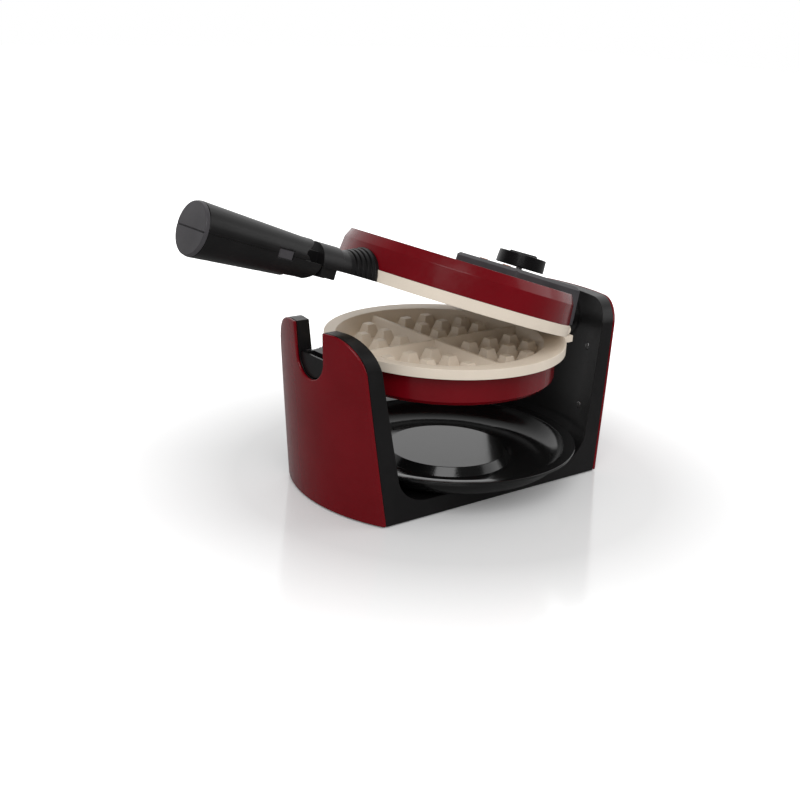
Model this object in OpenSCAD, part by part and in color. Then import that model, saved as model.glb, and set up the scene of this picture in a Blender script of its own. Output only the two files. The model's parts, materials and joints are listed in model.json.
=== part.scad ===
// Rotary waffle maker: round hinged iron that turns over in a two tower base

/* [Base] */
// outer radius of the towers at the table
tower_r = 149.6; // [146:0.2:154]
// how much that radius grows per millimetre of height
tower_lean = 0.0885; // [0.06:0.005:0.1]
// inner radius of the towers, carried down to the table
wall_r = 129.3; // [126:0.2:131]
// how much the inner radius grows per millimetre of height
wall_lean = 0.117; // [0.1:0.005:0.13]
// half width of the base at the table
base_half_w = 74.75; // [70:0.25:80]
// degrees that each side of the base slopes inward
side_taper = 4.25; // [3:0.25:5]
// height of the towers
tower_h = 166.2; // [160:0.2:172]
// corner radius at the top of the front tower
front_corner = 34; // [26:1:38]
// corner radius at the top of the rear tower
rear_corner = 26; // [20:1:34]
// height of the deck between the towers
deck_z = 17; // [15:0.5:18]
// radius of the hollow where deck and tower meet
hollow_r = 26; // [20:1:30]
// wall thickness of the black moulding
skin = 3; // [2.4:0.2:4]
// thickness of the coloured tower panels
panel_t = 2.8; // [2:0.2:3.4]
// how far the base stands off the table on its feet
foot_gap = 1.2; // [1:0.1:2]
// half width of the slot in the front tower
slot_half = 20; // [19:0.5:22]

/* [Iron] */
// centre of the round iron along the base
iron_x = -10; // [-12:0.5:-8]
// how far the turning axis lies below the tops of the towers
axis_drop = 26.7; // [24:0.1:30]
// outer radius of the plate rims
rim_r = 112; // [108:0.5:114]
// height of the rim on the lower plate
rim_h = 9; // [8:0.2:10]
// height of the rim on the upper plate
lid_rim_h = 10.2; // [9:0.2:11]
// gap between the closed plates
plate_gap = 0.5; // [0.4:0.1:1]
// how far the flat at the rear lies inside the rim radius
flat_inset = 19.5; // [18:0.5:22]
// width of the flange around the waffle cavity
flange_w = 16; // [16:1:20]
// depth of the waffle cavity
cavity_d = 15; // [12:0.5:17]
// from the dividing ribs to the first row of pegs
peg_first = 22.5; // [21:0.5:25]
// distance between the centres of two pegs
peg_pitch = 25; // [22:0.5:28]
// height of the pegs
peg_h = 12; // [8:0.5:13]
// how much smaller the lower drum is than the rim
drum_inset = 8.2; // [7:0.2:9]
// from the turning axis down to the bottom edge of the drum
drum_drop = 32.1; // [30:0.1:34]
// how much smaller the lid is than the rim
lid_inset = 1.2; // [0.6:0.2:2]
// from the turning axis up to the ridge of the closed lid
ridge_rise = 29.7; // [28:0.1:31]
// how far the side of the lid leans in up to the ridge
ridge_inset = 1.8; // [1:0.2:2.6]
// width of the bevel above the ridge
bevel_w = 4.2; // [3:0.2:6]
// height of that bevel
bevel_h = 8.6; // [7:0.2:10]

/* [Hinge] */
// from the flat of the iron back to the hinge line
hinge_back = 5; // [4.5:0.25:6]
// height of the hinge line above the turning axis
hinge_rise = 5.5; // [5:0.25:6.5]
// how far the lid stands open in this pose
open_angle = 18.2; // [0:0.2:19]
// diameter of the hinge pins
pin_d = 4; // [3.5:0.1:4.4]

/* [Handle] */
// radius of the groove that runs in the front bearing
neck_r = 17.6; // [17:0.1:18]
// radius of the neck at the iron
neck_root_r = 25; // [22:0.5:26]
// from the front tower out to the folding joint
fold_gap = 28; // [27:0.5:31]
// height of the grip centre line above the turning axis
grip_rise = 2.1; // [1.5:0.1:2.5]
// radius of the grip beside the joint
grip_r = 17.5; // [17:0.1:18]
// radius of the grip at its far end
grip_end_r = 22.5; // [20:0.1:23]
// length of the grip beyond the joint
grip_len = 98; // [84:1:102]

/* [Controls and tray] */
// length of the control cover, across the lid and over its rear
cover_l = 89; // [86:1:92]
// half width of the control cover
cover_half = 43; // [40:0.5:44]
// height of that cover above the lid
cover_rise = 8.2; // [7:0.2:10]
// diameter of the temperature knob
knob_d = 47; // [40:1:48]
// height of the knob
knob_h = 12.5; // [9:0.5:13]
// outer radius of the drip tray
tray_r = 122; // [116:0.5:124]
// height of the tray above the deck
tray_h = 21.5; // [19:0.5:23]
// running clearance between turning pieces
run_gap = 0.05; // [0.03:0.01:0.1]
// clearance between pieces that are fixed together
fit_gap = 0.1; // [0.05:0.05:0.2]

/* [Hidden] */
$fn = 96;
far = 400;
axis_z = tower_h - axis_drop;
rim_top = axis_z;
lid_z = axis_z + plate_gap;
mirror_z = axis_z + plate_gap / 2;
taper = tan(side_taper);
fillet_x = wall_r + wall_lean * (deck_z + hollow_r) - hollow_r;
wall_x = wall_r + wall_lean * axis_z;
tower_x = tower_r + tower_lean * axis_z;
bottom_t = 3.2;
foot_r = 7;
foot_h = 2;
foot_x = tower_r - 27.6;
foot_y = base_half_w - 24.75;
cover_screw_x = tower_r - 49.6;
cover_screw_y = base_half_w - 16.75;

screw_r = 1.2;
pilot_r = screw_r + 0.05;
through_r = screw_r + 0.4;
head_r = 3;
head_h = 1.3;
seat_r = head_r + 0.4;
boss_r = 4.6;
slot_w = 0.8;
head_gap = 0.05;

flat_x = iron_x + rim_r - flat_inset;
lid_flat_x = flat_x - 0.4;
cavity_r = rim_r - flange_w;
cavity_x = iron_x - 6.4;
pattern_x = iron_x - 11;
floor_z = rim_top - cavity_d;
plate_t = 3;
floor_under = floor_z - plate_t;
drum_r = rim_r - drum_inset;
drum_z = axis_z - drum_drop;
drum_floor = drum_z - 4;
lid_r = rim_r - lid_inset;
ridge_r = lid_r - ridge_inset;
ridge_z = axis_z + ridge_rise;
top_r = ridge_r - bevel_w;
top_z = ridge_z + bevel_h;
lid_base_z = lid_z + lid_rim_h + fit_gap;
post_front = 70;
post_rear = 54;
plate_posts = [[-post_front, -58], [-post_front, 58], [post_rear, -62], [post_rear, 62]];
tube_r = 3.2;
tube_ring = 66;
tube_angle = 20;
pin_end_r = 2.2;
tube_z = floor_under - tube_r - fit_gap;
reflector_t = 1;
reflector_r = 84;
reflector_z = floor_under - 7.6;
block_in = 34;
block_out = 46;

hinge_x = flat_x + hinge_back;
hinge_z = axis_z + hinge_rise;
pin_r = pin_d / 2;
knuckle_in = 49;
knuckle_out = 55.5;
ear_in = 56;
ear_out = 62;
knuckle_r = 4;
axle_r = 6.8;
axle_bore = 4;
axle_x0 = flat_x + fit_gap;
flange_t = 3;
ring_end = tower_x - panel_t - 4;
bearing_r = 14;
bearing_end = ring_end + fit_gap + 1.5;
clip_x = bearing_end + 0.15;
clip_t = 1;
axle_end = tower_x - panel_t - 0.95;
axle_screw_y = 30;
axle_screws = [axis_z - 29.5, axis_z - 15.5];
wire_y = 12;
wire_z = axis_z - 23.5;
wire_r = 4.5;

collar_r = slot_half - 1;
collar_x = -wall_x - 5.4;
neck_end_x = collar_x - 5.5;
groove_x = collar_x + 8;
iron_front = iron_x - rim_r;
bearing_t = 5;
journal_screw_y = 7;
journal_screw_z = axis_z - 22.5;
neck_screw_y = 9;
neck_screw_z = axis_z + 16.5;

fold_x = -tower_x - fold_gap;
pivot_z = axis_z + 1;
grip_z = axis_z + grip_rise;
grip_end_x = fold_x - grip_len;
joint_r = pivot_z - grip_z + grip_r;
joint_half = 7;
fold_pin_r = 2;
grip_t = 2.5;
grip_screws_x = [fold_x - 32, grip_end_x + 16];
button_x = fold_x - 21;
button_z = pivot_z + 1.5;
button_l = 15;
button_h = 7.6;

cover_x0 = hinge_x - 68.5;
cover_x1 = cover_x0 + cover_l;
cover_top = top_z + cover_rise;
cover_t = 2.5;
cover_edge = 3;
cover_corner = 4;
cover_posts = [[cover_x0 + 11, -34], [cover_x0 + 11, 34], [cover_x0 + 53, -34], [cover_x0 + 53, 34]];
skirt_z = hinge_z + 5;
knob_x = cover_x0 + cover_l / 2;
knob_gap = 2;
shaft_r = 3;
lens_x = cover_x0 + 12;
lens_y = 16;
lens_r = 4;

tray_z = deck_z + tray_h;
tray_t = 2.4;
tray_floor = deck_z + fit_gap + tray_t;
tray_bend = 22;
tray_bend_x = tray_r - 32;
plateau_r = 56;
plateau_h = 7.9;

// which sub-part to draw

red = [0.48, 0.04, 0.07];
black = [0.05, 0.05, 0.055];
dark = [0.12, 0.12, 0.125];
grey = [0.3, 0.3, 0.31];
cream = [0.86, 0.8, 0.71];
steel = [0.62, 0.62, 0.63];
bright = [0.78, 0.78, 0.77];

// Shapes that several pieces share

function out_r(z) = tower_r + tower_lean * z;
function in_r(z) = wall_r + wall_lean * z;
function half_w(z) = base_half_w - taper * z;

// turns closed lid parts into the open pose
module lid_pose() {
  translate([hinge_x, 0, hinge_z])
    rotate([0, open_angle, 0])
      translate([-hinge_x, 0, -hinge_z])
        children();
}

// a box from one corner to the other
module block(a, b) {
  translate(a)
    cube([b[0] - a[0], b[1] - a[1], b[2] - a[2]]);
}

// a rod along X
module rod_x(x0, x1, z, r, y = 0) {
  translate([x0, y, z])
    rotate([0, 90, 0])
      cylinder(h = x1 - x0, r = r);
}

// a cone along X
module cone_x(x0, x1, z, r0, r1) {
  translate([x0, 0, z])
    rotate([0, 90, 0])
      cylinder(h = x1 - x0, r1 = r0, r2 = r1);
}

// a rod along Y
module rod_y(y0, y1, x, z, r) {
  translate([x, y1, z])
    rotate([90, 0, 0])
      cylinder(h = y1 - y0, r = r);
}

// a slab of any outline in the XZ plane, from y0 to y1
module slab_y(y0, y1) {
  translate([0, y1, 0])
    rotate([90, 0, 0])
      linear_extrude(y1 - y0)
        children();
}

// cross recess in the end of a screw head that starts at z = 0
module recess() {
  for (a = [0, 90])
    rotate([0, 0, a])
      translate([-head_r * 0.7, -slot_w / 2, -1])
        cube([head_r * 1.4, slot_w, 1 + head_h * 0.6]);
}

// a screw standing on its head at z = 0
module screw(length) {
  difference() {
    cylinder(h = head_h, r = head_r);
    recess();
  }
  translate([0, 0, head_h - 0.2])
    cylinder(h = length - head_h + 0.2, r = screw_r);
}

// the outline of a tower seen from the end, drawn in by d
module tower_outline(corner, d) {
  zc = tower_h - corner;
  yc = half_w(zc) - corner;
  difference() {
    polygon([[-half_w(0) + d, -1], [half_w(0) - d, -1],
             [half_w(tower_h) - d, tower_h - d], [-half_w(tower_h) + d, tower_h - d]]);
    for (s = [-1, 1])
      difference() {
        translate([s * yc + (s > 0 ? 0 : -far), zc])
          square([far, far]);
        translate([s * yc, zc])
          circle(r = corner - d);
      }
  }
}

// that outline as a solid over one half of the base
module tower_slab(side, corner, d) {
  translate([side > 0 ? 0 : -far, 0, 0])
    rotate([90, 0, 90])
      linear_extrude(far)
        tower_outline(corner, d);
}

module base_slab(d) {
  tower_slab(-1, front_corner, d);
  tower_slab(1, rear_corner, d);
}

// the open space between the towers, grown outward by d
module inner_space(d) {
  zf = deck_z + hollow_r;
  polygon([[0, zf], [in_r(zf) + d, zf], [in_r(far) + d, far], [0, far]]);
  translate([fillet_x, zf])
    circle(r = hollow_r + d);
  polygon([[0, deck_z - d], [fillet_x, deck_z - d], [fillet_x, zf + 1], [0, zf + 1]]);
}

// a cone d inside the outer face of the towers
module lean_cone(d) {
  translate([0, 0, -1])
    cylinder(h = tower_h + 2, r1 = out_r(-1) - d, r2 = out_r(tower_h + 1) - d);
}

// the round wall from the open space out to that cone
module tower_ring(d) {
  difference() {
    lean_cone(d);
    translate([0, 0, -2])
      cylinder(h = tower_h + 4, r1 = in_r(-2), r2 = in_r(tower_h + 2));
  }
}

// the slot in the front tower, grown by d
module front_slot(d) {
  x0 = -tower_x - 20;
  x1 = -wall_x + 25;
  rise = tower_h - axis_z + 30;
  rod_x(x0, x1, axis_z, slot_half + d);
  translate([x0, 0, axis_z])
    rotate([90, 0, 90])
      linear_extrude(x1 - x0)
        polygon([[-slot_half - d, 0], [slot_half + d, 0],
                 [slot_half + 2.2 + d, rise], [-slot_half - 2.2 - d, rise]]);
}

// side, place across the base and height of each panel screw
panel_low = 60;
panel_high = tower_h - 48.2;
panel_spots = [for (side = [-1, 1], s = [-1, 1], level = [0, 1])
               [side, s * (base_half_w - (level > 0 ? 32.75 : 28.75)), level > 0 ? panel_high : panel_low]];

// places its children on the inner wall at each panel screw, pointing out along X
module at_panel_screws(side) {
  for (s = panel_spots)
    if (s[0] == side)
      translate([side * sqrt(pow(in_r(s[2]), 2) - s[1] * s[1]), s[1], s[2]])
        rotate([0, side * 90, 0])
          children();
}

module at_cover_screws() {
  for (x = [-cover_screw_x, 0, cover_screw_x], s = [-1, 1])
    translate([x, s * cover_screw_y, 0])
      children();
}

module at_feet() {
  for (x = [-foot_x, foot_x], s = [-1, 1])
    translate([x, s * foot_y, 0])
      children();
}

// Base

module base_frame() {
  shell_r = panel_t + fit_gap;
  color(black)
    difference() {
      union() {
        difference() {
          intersection() {
            base_slab(0);
            rotate_extrude()
              difference() {
                polygon([[0, foot_gap], [out_r(foot_gap) - shell_r, foot_gap],
                         [out_r(far) - shell_r, far], [0, far]]);
                intersection() {
                  inner_space(0);
                  square([far, far]);
                }
              }
          }
          intersection() {
            base_slab(skin);
            rotate_extrude()
              difference() {
                polygon([[0, -1], [far, -1], [far, tower_h - skin], [0, tower_h - skin]]);
                intersection() {
                  inner_space(skin);
                  square([far, far]);
                }
              }
          }
        }
        // walls of the front slot, a hair inside the panel
        intersection() {
          base_slab(0.2);
          tower_ring(shell_r + 0.2);
          front_slot(skin);
        }
        // ring that holds the rear bearing
        intersection() {
          rod_x(wall_x - 10, ring_end, axis_z, bearing_r + 7);
          tower_ring(0);
          base_slab(0);
        }
        // posts for the panel screws
        for (side = [-1, 1])
          intersection() {
            at_panel_screws(side)
              translate([0, 0, -5])
                cylinder(h = 30, r = boss_r + 0.4);
            tower_ring(panel_t + 6);
          }
        // posts for the cover screws
        intersection() {
          at_cover_screws()
            translate([0, 0, bottom_t + 0.4])
              cylinder(h = deck_z, r = boss_r + 0.4);
          rotate_extrude()
            difference() {
              square([out_r(0) - panel_t - 2, deck_z]);
              inner_space(skin - 0.5);
            }
        }
      }
      front_slot(0);
      rod_x(wall_x - 25, tower_x, axis_z, bearing_r);
      for (side = [-1, 1])
        at_panel_screws(side) {
          translate([0, 0, -20])
            cylinder(h = 40, r = through_r);
          translate([0, 0, -20])
            cylinder(h = 20 + head_h, r = seat_r);
        }
      at_cover_screws()
        translate([0, 0, -1])
          cylinder(h = deck_z - 3, r = pilot_r);
    }
}

module tower_panel(side, corner) {
  color(red)
    difference() {
      union() {
        intersection() {
          tower_slab(side, corner, 0);
          rotate_extrude()
            polygon([[out_r(foot_gap) - panel_t, foot_gap], [out_r(foot_gap), foot_gap],
                     [out_r(far), far], [out_r(far) - panel_t, far]]);
          block([side > 0 ? 60 : -far, -far, 0], [side > 0 ? far : -60, far, far]);
        }
        intersection() {
          at_panel_screws(side)
            cylinder(h = 30, r = boss_r - 0.2);
          difference() {
            lean_cone(1);
            lean_cone(panel_t + 5.9);
          }
        }
      }
      at_panel_screws(side)
        cylinder(h = 12.7, r = pilot_r);
    }
}

module front_panel() {
  difference() {
    tower_panel(-1, front_corner);
    front_slot(0);
  }
}

// the cord comes in low in the rear panel
cord_y = 30;
cord_z = 26;
cord_x = tower_r + tower_lean * cord_z;

module rear_panel() {
  difference() {
    tower_panel(1, rear_corner);
    rod_x(cord_x - 15, cord_x + 15, cord_z, 6.5, cord_y);
  }
}

module panel_screws() {
  color(steel)
    for (side = [-1, 1])
      at_panel_screws(side)
        translate([0, 0, -head_gap])
          screw(12.5);
}

module bottom_cover() {
  color(black)
    difference() {
      intersection() {
        base_slab(skin + 0.3);
        cylinder(h = bottom_t, r = out_r(0) - panel_t - 2.5);
      }
      at_cover_screws() {
        translate([0, 0, -1])
          cylinder(h = 20, r = through_r);
        translate([0, 0, -1])
          cylinder(h = 1.5 + head_h, r = seat_r);
      }
      at_feet()
        translate([0, 0, -1])
          cylinder(h = 1 + foot_h, r = foot_r + fit_gap);
    }
}

module cover_screws() {
  color(steel)
    at_cover_screws()
      translate([0, 0, 0.5 - head_gap])
        screw(10);
}

// pads pressed level with the cover that they are glued into
module rubber_feet() {
  color(dark)
    at_feet()
      cylinder(h = foot_h, r = foot_r);
}

module rear_bearing() {
  color(grey)
    difference() {
      union() {
        rod_x(wall_x - 0.6, bearing_end, axis_z, bearing_r - fit_gap / 2);
        rod_x(ring_end + fit_gap, bearing_end, axis_z, bearing_r + 3);
      }
      rod_x(wall_x - 10, tower_x, axis_z, axle_r + run_gap);
    }
}

module cord_gland() {
  color(dark)
    difference() {
      union() {
        rod_x(cord_x - 9.9, cord_x + 6.6, cord_z, 6.3, cord_y);
        rod_x(cord_x - 11.9, cord_x - 8.5, cord_z, 9, cord_y);
      }
      rod_x(cord_x - 15, cord_x + 15, cord_z, 3.6, cord_y);
    }
}

module terminal_block() {
  z0 = bottom_t + fit_gap;
  color(bright)
    difference() {
      block([-24, 10, z0], [10, 28, z0 + 9.6]);
      for (x = [-18, -7, 4]) {
        translate([x, 19, z0 + 4.7])
          cylinder(h = 6, r = 2.4);
        rod_y(0, 40, x, z0 + 4.2, 1.6);
      }
    }
}

// Drip tray

// the open space of the dish, grown outward by d
module tray_space(d) {
  translate([tray_bend_x, tray_floor + tray_bend])
    circle(r = tray_bend + d);
  translate([0, tray_floor - d])
    square([tray_bend_x, tray_bend + d]);
}

module drip_tray() {
  rim_under = tray_z - 3.3;
  color(black)
    rotate_extrude()
      intersection() {
        square([far, far]);
        difference() {
          union() {
            difference() {
              tray_space(tray_t);
              tray_space(0);
              translate([0, tray_z - 1.5])
                square([far, far]);
            }
            // flat rim with a rounded edge
            polygon([[tray_r - 9, rim_under - 0.3], [tray_r - 0.6, rim_under + 0.4], [tray_r, tray_z - 0.6],
                     [tray_r - 0.6, tray_z], [tray_r - 2.4, tray_z], [tray_r - 10.8, tray_z - 1.1]]);
            // raised middle
            polygon([[0, tray_floor - 0.1], [plateau_r + 5.5, tray_floor - 0.1],
                     [plateau_r, tray_floor + plateau_h], [0, tray_floor + plateau_h]]);
          }
          polygon([[0, 0], [plateau_r + 4, 0], [plateau_r + 4, tray_floor - tray_t],
                   [plateau_r - 1.5, tray_floor + plateau_h - tray_t], [0, tray_floor + plateau_h - tray_t]]);
        }
      }
}

// Lower half of the iron

module disc_cut(r1, r2, z0, z1, x_cut) {
  intersection() {
    translate([iron_x, 0, z0])
      cylinder(h = z1 - z0, r1 = r1, r2 = r2);
    block([-far, -far, z0], [x_cut, far, z1]);
  }
}

module at_posts(z) {
  for (s = plate_posts)
    translate([iron_x + s[0], s[1], z])
      children();
}

module rotate_about_iron(a) {
  translate([iron_x, 0, 0])
    rotate([0, 0, a])
      children();
}

module lower_housing() {
  color(red)
    difference() {
      union() {
        disc_cut(drum_r - 1.1, drum_r, drum_z, rim_top - 2.6, flat_x);
        disc_cut(drum_r - 5.5, drum_r - 1.1, drum_floor, drum_z, flat_x);
      }
      difference() {
        disc_cut(drum_r - 3.6, drum_r - 2.5, drum_floor + 2.5, rim_top, flat_x - 2.5);
        at_posts(drum_floor)
          cylinder(h = floor_under - 5 - drum_floor, r = boss_r + 0.4);
        // stands for the reflector
        for (a = [60, 180, 300])
          rotate_about_iron(a)
            translate([40, 0, drum_floor])
              cylinder(h = reflector_z - 0.1 - drum_floor, r = 4);
        // pads behind the axle bracket
        for (s = [-1, 1])
          block([flat_x - 12, s * axle_screw_y - 5, drum_floor],
                [flat_x, s * axle_screw_y + 5, drum_floor + 25]);
      }
      at_posts(drum_floor - 1)
        cylinder(h = 40, r = through_r);
      at_posts(drum_floor - 1)
        cylinder(h = 7, r = seat_r);
      for (s = [-1, 1], z = axle_screws)
        rod_x(flat_x - 11, flat_x + 1, z, pilot_r, s * axle_screw_y);
      rod_x(flat_x - 10, flat_x + 1, wire_z, wire_r, wire_y);
      plate_cone(fit_gap);
      block([flat_x - 2.5, -far, rim_top - rim_h - fit_gap], [far, far, far]);
      for (s = [-1, 1])
        rod_x(iron_x - drum_r - 10, iron_x - drum_r + 8, journal_screw_z, through_r, s * journal_screw_y);
    }
}

// underside of the cavity, grown by d
module plate_cone(d) {
  translate([cavity_x, 0, floor_under])
    cylinder(h = cavity_d + plate_t - 2.5, r1 = cavity_r - 5 + d, r2 = cavity_r + 1.5 + d);
}

// floor, wall and rim of a waffle plate lying face up
module plate_shell(rim, x_cut) {
  difference() {
    union() {
      disc_cut(rim_r, rim_r, rim_top - rim, rim_top, x_cut);
      plate_cone(0);
    }
    difference() {
      disc_cut(rim_r - 2.6, rim_r - 2.6, rim_top - rim - 1, rim_top - 2.5, x_cut - 2.4);
      plate_cone(0);
    }
    translate([cavity_x, 0, floor_z])
      cylinder(h = cavity_d + 0.01, r1 = cavity_r - 7.5, r2 = cavity_r);
  }
}

// one peg with sloping sides
module peg(x, y) {
  translate([x, y, floor_z - 0.5])
    rotate([0, 0, 45])
      cylinder(h = peg_h + 0.5, r1 = peg_pitch * 0.448, r2 = peg_pitch * 0.24, $fn = 4);
}

// one dividing rib with sloping sides, along X
module rib(l0, l1) {
  translate([l0, 0, floor_z - 0.5])
    rotate([90, 0, 90])
      linear_extrude(l1 - l0)
        polygon([[-10, 0], [10, 0], [1.6, peg_h], [-1.6, peg_h]]);
}

peg_rows = [for (i = [0 : 3], s = [-1, 1]) s * (peg_first + i * peg_pitch)];

// pegs and ribs about the place where the ribs cross
module waffle_pattern() {
  for (i = peg_rows, j = peg_rows)
    if (norm([pattern_x - cavity_x + i, j]) < cavity_r - 11)
      peg(pattern_x + i, j);
  intersection() {
    translate([pattern_x, 0, 0]) {
      rib(-rim_r, rim_r);
      rotate([0, 0, 90])
        rib(-rim_r, rim_r);
    }
    translate([cavity_x, 0, floor_z - 1])
      cylinder(h = cavity_d + 2, r1 = cavity_r - 6.5, r2 = cavity_r + 0.5);
  }
}

module waffle_plate(rim, x_cut) {
  plate_shell(rim, x_cut);
  waffle_pattern();
  at_posts(floor_under - 4.9)
    difference() {
      cylinder(h = 5.4, r = boss_r);
      translate([0, 0, -1])
        cylinder(h = 5, r = pilot_r);
    }
}

// hinge lugs at the rear of the lower plate
module lower_lugs() {
  for (s = [-1, 1])
    difference() {
      union() {
        block([flat_x - 1, s * (knuckle_in + ear_out) / 2 - (ear_out - knuckle_in) / 2, rim_top - 6.5],
              [hinge_x + 7.5, s * (knuckle_in + ear_out) / 2 + (ear_out - knuckle_in) / 2, rim_top]);
        slab_y(s > 0 ? knuckle_in : -knuckle_out, s > 0 ? knuckle_out : -knuckle_in) {
          translate([hinge_x - knuckle_r, rim_top - 4])
            square([2 * knuckle_r, hinge_z - rim_top + 4]);
          translate([hinge_x, hinge_z])
            circle(r = knuckle_r);
        }
      }
      rod_y(s * knuckle_in - 8, s * knuckle_in + 8, hinge_x, hinge_z, pin_r + run_gap);
    }
}

module lower_plate() {
  color(cream) {
    waffle_plate(rim_h, flat_x);
    lower_lugs();
  }
}

// screws that hold a plate in its housing
module plate_screws(z_head, z_end) {
  at_posts(z_head)
    screw(z_end - z_head);
}

// a screw along X with its head at x0, or at x1 when it points back
module screw_x(x0, x1, y, z) {
  translate([x0, y, z])
    rotate([0, x1 > x0 ? 90 : -90, 0])
      screw(abs(x1 - x0));
}

module lower_screws() {
  color(steel) {
    plate_screws(drum_floor + 6 - head_h - head_gap, floor_under - 1.4);
    for (s = [-1, 1], z = axle_screws)
      screw_x(axle_x0 + flange_t + head_h + head_gap, flat_x - 9, s * axle_screw_y, z);
    for (s = [-1, 1])
      screw_x(iron_x - drum_r + 3.9 + head_h, iron_front - 2, s * journal_screw_y, journal_screw_z);
  }
}

// heating tube, nearly a full ring with its two ends turned in
module element(z) {
  rotate_about_iron(tube_angle)
    translate([0, 0, z])
      rotate_extrude(angle = 360 - 2 * tube_angle)
        translate([tube_ring, 0])
          circle(r = tube_r, $fn = 24);
  for (a = [tube_angle, -tube_angle])
    rotate_about_iron(a)
      rod_x(block_out - 2, tube_ring + 2, z, pin_end_r);
}

module lower_element() {
  color(steel)
    element(tube_z);
}

module reflector(z) {
  difference() {
    translate([iron_x, 0, z])
      cylinder(h = reflector_t, r = reflector_r);
    at_posts(z - 1)
      cylinder(h = 3, r = boss_r + 1.4);
  }
}

module lower_reflector() {
  color(bright)
    reflector(reflector_z);
}

// ceramic blocks on the two ends of a heating tube
module terminals(z) {
  for (a = [tube_angle, -tube_angle])
    rotate_about_iron(a)
      difference() {
        block([block_in, -5, z - 3.1], [block_out, 5, z + 3.2]);
        rod_x(block_in - 1, block_out + 4, z, pin_end_r + run_gap);
      }
}

module lower_terminals() {
  color(cream)
    terminals(tube_z);
}

function cone_r(x) = neck_r + (neck_root_r - neck_r) * (x - groove_x) / (iron_front - groove_x);

// half round front journal: groove, collar and a cone up to the iron
module journal(x_end) {
  difference() {
    union() {
      cone_x(groove_x, iron_front, axis_z, neck_r, neck_root_r);
      rod_x(iron_front - 0.1, iron_front + 18, axis_z, neck_root_r);
      rod_x(collar_x - 1, groove_x + 0.1, axis_z, neck_r);
      rod_x(x_end, collar_x, axis_z, collar_r);
    }
    // fine ribs around the cone
    for (x = [groove_x + 4 : 4.2 : iron_front - 3])
      difference() {
        rod_x(x, x + 1.6, axis_z, 2 * neck_root_r);
        rod_x(x, x + 1.6, axis_z, cone_r(x) - 0.9);
      }
  }
}

module front_journal() {
  color(dark)
    difference() {
      intersection() {
        journal(neck_end_x);
        block([-far, -far, axis_z - 60], [0, far, axis_z]);
      }
      translate([iron_x, 0, rim_top - rim_h - 0.3])
        cylinder(h = 30, r = rim_r + fit_gap);
      translate([iron_x, 0, drum_z])
        cylinder(h = 30, r = drum_r + fit_gap);
      rod_x(neck_end_x + 2.5, collar_x + 5, axis_z, collar_r - 5);
      for (s = [-1, 1])
        rod_x(iron_front - 5, iron_front + 22, journal_screw_z, pilot_r, s * journal_screw_y);
    }
}

module front_bearing() {
  color(grey)
    intersection() {
      difference() {
        rod_x(collar_x + 0.4, collar_x + 0.4 + bearing_t, axis_z, slot_half - fit_gap / 2);
        rod_x(collar_x - 10, collar_x + 20, axis_z, neck_r + run_gap);
      }
      block([-far, -far, axis_z - 30], [0, far, axis_z]);
    }
}

// Rear hinge and axle

module rear_axle() {
  color(steel)
    difference() {
      union() {
        rod_x(axle_x0, axle_end, axis_z, axle_r);
        rod_x(wall_x - 8.1, wall_x - 1.4, axis_z, axle_r + 3);
        block([axle_x0, -axle_screw_y - 8, axle_screws[0] - 2.4],
              [axle_x0 + flange_t, axle_screw_y + 8, axle_screws[1] + 5]);
        block([axle_x0, -14, axle_screws[1] - 4], [axle_x0 + flange_t, 14, axis_z + axle_r]);
      }
      rod_x(axle_x0 - 1, axle_end + 2, axis_z, axle_bore);
      rod_x(axle_x0 - 1, axle_x0 + flange_t + 1, wire_z, wire_r, wire_y);
      for (s = [-1, 1], z = axle_screws)
        rod_x(axle_x0 - 1, axle_x0 + flange_t + 1, z, through_r, s * axle_screw_y);
      // groove for the clip
      difference() {
        rod_x(clip_x - 0.05, clip_x + clip_t + 0.05, axis_z, axle_r + 1);
        rod_x(clip_x - 1, clip_x + clip_t + 1, axis_z, axle_r - 1);
      }
    }
}

module axle_clip() {
  color(steel)
    difference() {
      rod_x(clip_x, clip_x + clip_t, axis_z, axle_r + 4.2);
      rod_x(clip_x - 1, clip_x + clip_t + 1, axis_z, axle_r - 1 + run_gap);
      block([clip_x - 1, -3, axis_z], [clip_x + clip_t + 1, 3, axis_z + 20]);
    }
}

module hinge_pins() {
  color(steel)
    lid_pose()
      for (s = [-1, 1]) {
        rod_y(s * 55 - 6.4, s * 55 + 6.4, hinge_x, hinge_z, pin_r);
        rod_y(s * (knuckle_in - 1.2) - 0.9, s * (knuckle_in - 1.2) + 0.9, hinge_x, hinge_z, pin_r + 1.4);
      }
}

// Lid, drawn closed and then opened

module to_lid() {
  translate([0, 0, 2 * mirror_z])
    mirror([0, 0, 1])
      children();
}

// outer form of the lid, grown by d
module lid_form(d) {
  disc_cut(lid_r + d, ridge_r + d, lid_base_z - d, ridge_z, lid_flat_x + d);
  disc_cut(ridge_r + d, top_r + d, ridge_z - 0.01, top_z + d, lid_flat_x + d);
}

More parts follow.
